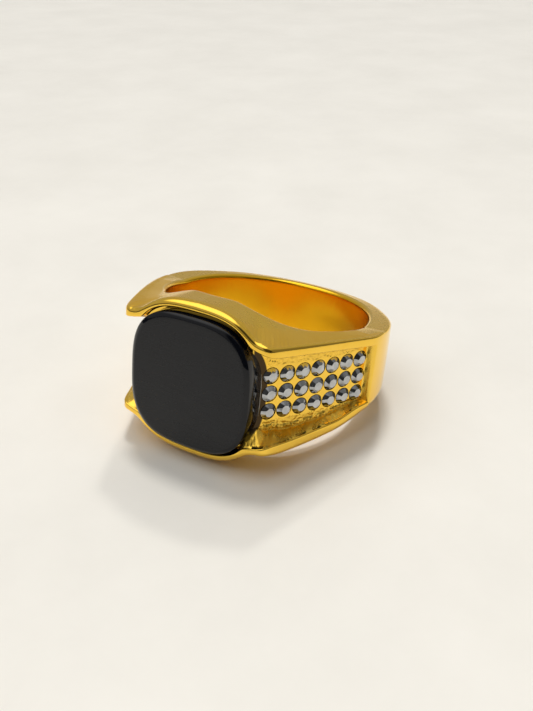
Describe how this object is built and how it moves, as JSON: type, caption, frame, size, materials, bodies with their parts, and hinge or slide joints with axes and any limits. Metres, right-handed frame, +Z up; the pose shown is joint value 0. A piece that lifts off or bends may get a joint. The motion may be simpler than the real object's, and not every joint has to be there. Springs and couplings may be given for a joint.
{
  "type": "signet ring",
  "caption": "Gold-coloured signet ring lying on its side, with a flat black cushion stone and rows of small faceted chatons sunk into both shoulders.",
  "frame": {"origin": "centre of the finger hole, on its axis, at the middle of the band's width", "axes": "+Z is up with the ring lying on its side on a table, -Y is towards the front, where the stone faces, and +X is to the right seen from the front. The finger hole's axis leans 10 degrees from +Z towards +Y, because the wide head and the narrow back both rest on the table."},
  "size_m": [0.0236, 0.0257, 0.0143],
  "materials": {
    "gold": "polished gold-coloured plating, satin on the side faces, brushed inside the finger hole, grainy in the shoulder panels",
    "black_stone": "satin flat table, polished chamfer and side wall",
    "chaton": "polished metallic dark grey facets",
    "cement": "cured jeweller's cement, hidden"
  },
  "bodies": {
    "root": {"shank": "gold", "top_stone": "black_stone", "top_stone_cement": "cement", "right_chaton_cement": "cement", "left_chaton_cement": "cement", "right_chaton_row1_1": "chaton", "right_chaton_row1_2": "chaton", "right_chaton_row1_3": "chaton", "right_chaton_row1_4": "chaton", "right_chaton_row1_5": "chaton", "right_chaton_row1_6": "chaton", "right_chaton_row1_7": "chaton", "right_chaton_row2_1": "chaton", "right_chaton_row2_2": "chaton", "right_chaton_row2_3": "chaton", "right_chaton_row2_4": "chaton", "right_chaton_row2_5": "chaton", "right_chaton_row2_6": "chaton", "right_chaton_row2_7": "chaton", "right_chaton_row3_1": "chaton", "right_chaton_row3_2": "chaton", "right_chaton_row3_3": "chaton", "right_chaton_row3_4": "chaton", "right_chaton_row3_5": "chaton", "right_chaton_row3_6": "chaton", "right_chaton_row3_7": "chaton", "left_chaton_row1_1": "chaton", "left_chaton_row1_2": "chaton", "left_chaton_row1_3": "chaton", "left_chaton_row1_4": "chaton", "left_chaton_row1_5": "chaton", "left_chaton_row1_6": "chaton", "left_chaton_row1_7": "chaton", "left_chaton_row2_1": "chaton", "left_chaton_row2_2": "chaton", "left_chaton_row2_3": "chaton", "left_chaton_row2_4": "chaton", "left_chaton_row2_5": "chaton", "left_chaton_row2_6": "chaton", "left_chaton_row2_7": "chaton", "left_chaton_row3_1": "chaton", "left_chaton_row3_2": "chaton", "left_chaton_row3_3": "chaton", "left_chaton_row3_4": "chaton", "left_chaton_row3_5": "chaton", "left_chaton_row3_6": "chaton", "left_chaton_row3_7": "chaton"}
  },
  "joints": []
}
